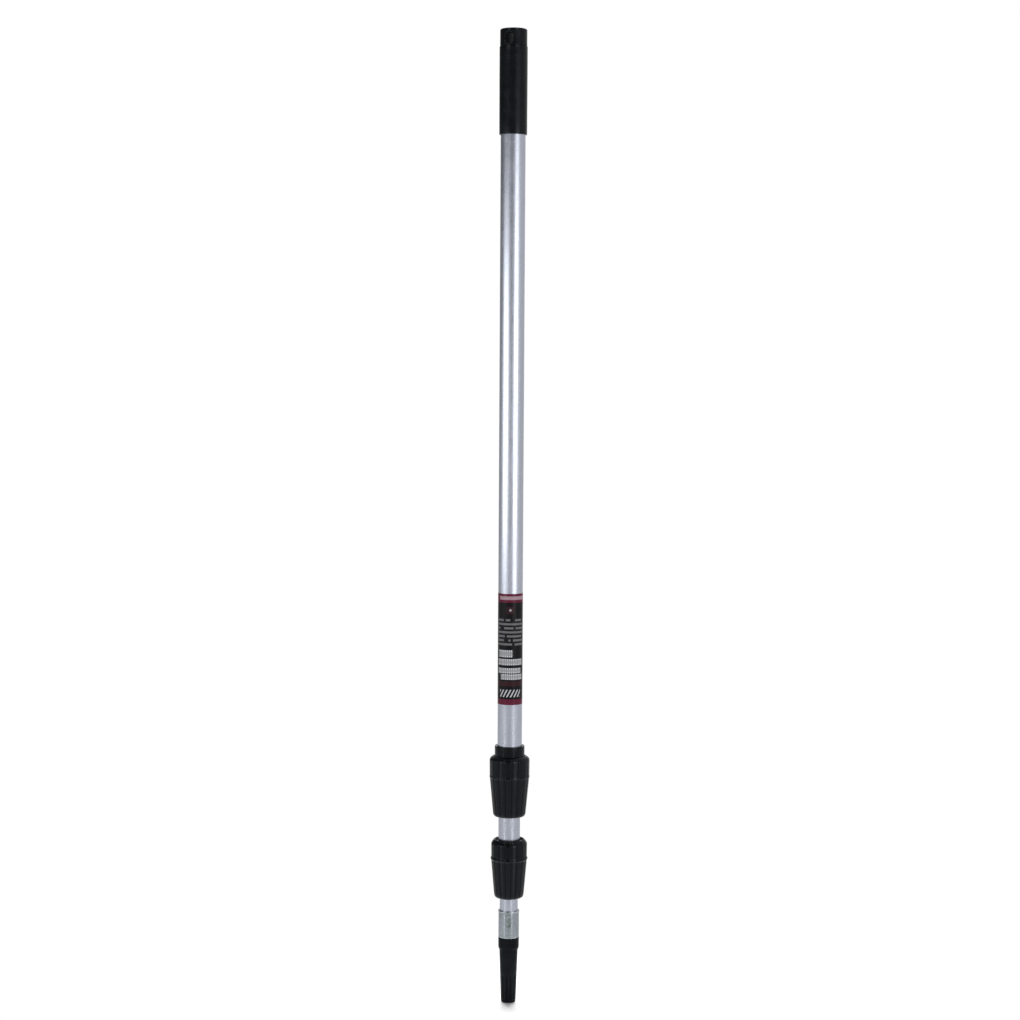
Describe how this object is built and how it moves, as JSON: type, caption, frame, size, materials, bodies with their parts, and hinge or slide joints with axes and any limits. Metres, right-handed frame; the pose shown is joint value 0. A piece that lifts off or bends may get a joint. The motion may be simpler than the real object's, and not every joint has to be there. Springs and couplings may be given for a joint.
{
  "type": "roller extension pole",
  "caption": "Telescopic round-tube pole with ribbed twist locks, a plastic grip with a hanging hole, and a tapered push-fit tip for a paint roller frame.",
  "frame": {"origin": "centre of the hanging hole through the grip's end cap, on the pole's axis", "axes": "+Z along the pole from the tip to the grip's end, +Y along the hanging hole, +X across it"},
  "size_m": [0.0462, 0.046, 1.1065],
  "materials": {
    "satin_aluminium": "satin drawn tube, clear anodised",
    "zinc_plated_steel": "dull mottled zinc plate",
    "lock_plastic": "moulded, half gloss, worn bright on the ribs",
    "grip_plastic": "moulded, satin",
    "tip_plastic": "moulded, satin, scuffed",
    "label_film": "printed glossy film, black with crimson bands",
    "natural_nylon": "moulded, uncoloured"
  },
  "bodies": {
    "outer_section": {"outer_tube": "satin_aluminium", "label": "label_film", "handle_grip": "grip_plastic", "hang_cap": "grip_plastic", "outer_lock_body": "lock_plastic"},
    "outer_clamp": {"outer_clamp_ring": "natural_nylon"},
    "outer_nut": {"outer_lock_nut": "lock_plastic"},
    "middle_guide": {"middle_guide_ring": "natural_nylon"},
    "middle_section": {"middle_tube": "satin_aluminium", "middle_end_plug": "natural_nylon", "inner_lock_body": "lock_plastic"},
    "inner_clamp": {"inner_clamp_ring": "natural_nylon"},
    "inner_nut": {"inner_lock_nut": "lock_plastic"},
    "inner_guide": {"inner_guide_ring": "natural_nylon"},
    "inner_section": {"inner_tube": "satin_aluminium", "inner_end_plug": "natural_nylon", "ferrule": "zinc_plated_steel", "tip": "tip_plastic"}
  },
  "joints": [
    {"name": "outer_clamp_shift", "type": "slide", "parent": "outer_section", "child": "outer_clamp", "axis": [0, 0, -1], "range_m": [0, 0.004]},
    {"name": "outer_lock_turn", "type": "hinge", "parent": "outer_clamp", "child": "outer_nut", "pos_m": [0, 0, -0.8475], "axis": [0, 0, -1], "range_deg": [0, 360]},
    {"name": "middle_slide", "type": "slide", "parent": "outer_section", "child": "middle_guide", "axis": [0, 0, -1], "range_m": [-0.02, 0.7]},
    {"name": "middle_spin", "type": "hinge", "parent": "middle_guide", "child": "middle_section", "pos_m": [0, 0, -0.8475], "axis": [0, 0, -1], "continuous": true},
    {"name": "inner_clamp_shift", "type": "slide", "parent": "middle_section", "child": "inner_clamp", "axis": [0, 0, -1], "range_m": [0, 0.004]},
    {"name": "inner_lock_turn", "type": "hinge", "parent": "inner_clamp", "child": "inner_nut", "pos_m": [0, 0, -0.9425], "axis": [0, 0, -1], "range_deg": [0, 360]},
    {"name": "inner_slide", "type": "slide", "parent": "middle_section", "child": "inner_guide", "axis": [0, 0, -1], "range_m": [-0.008, 0.7]},
    {"name": "inner_spin", "type": "hinge", "parent": "inner_guide", "child": "inner_section", "pos_m": [0, 0, -0.9425], "axis": [0, 0, -1], "continuous": true}
  ],
  "couplings": [
    {"joint": "outer_clamp_shift", "follows": "outer_lock_turn", "m_per_rad": 0.00063662},
    {"joint": "inner_clamp_shift", "follows": "inner_lock_turn", "m_per_rad": 0.00063662}
  ]
}
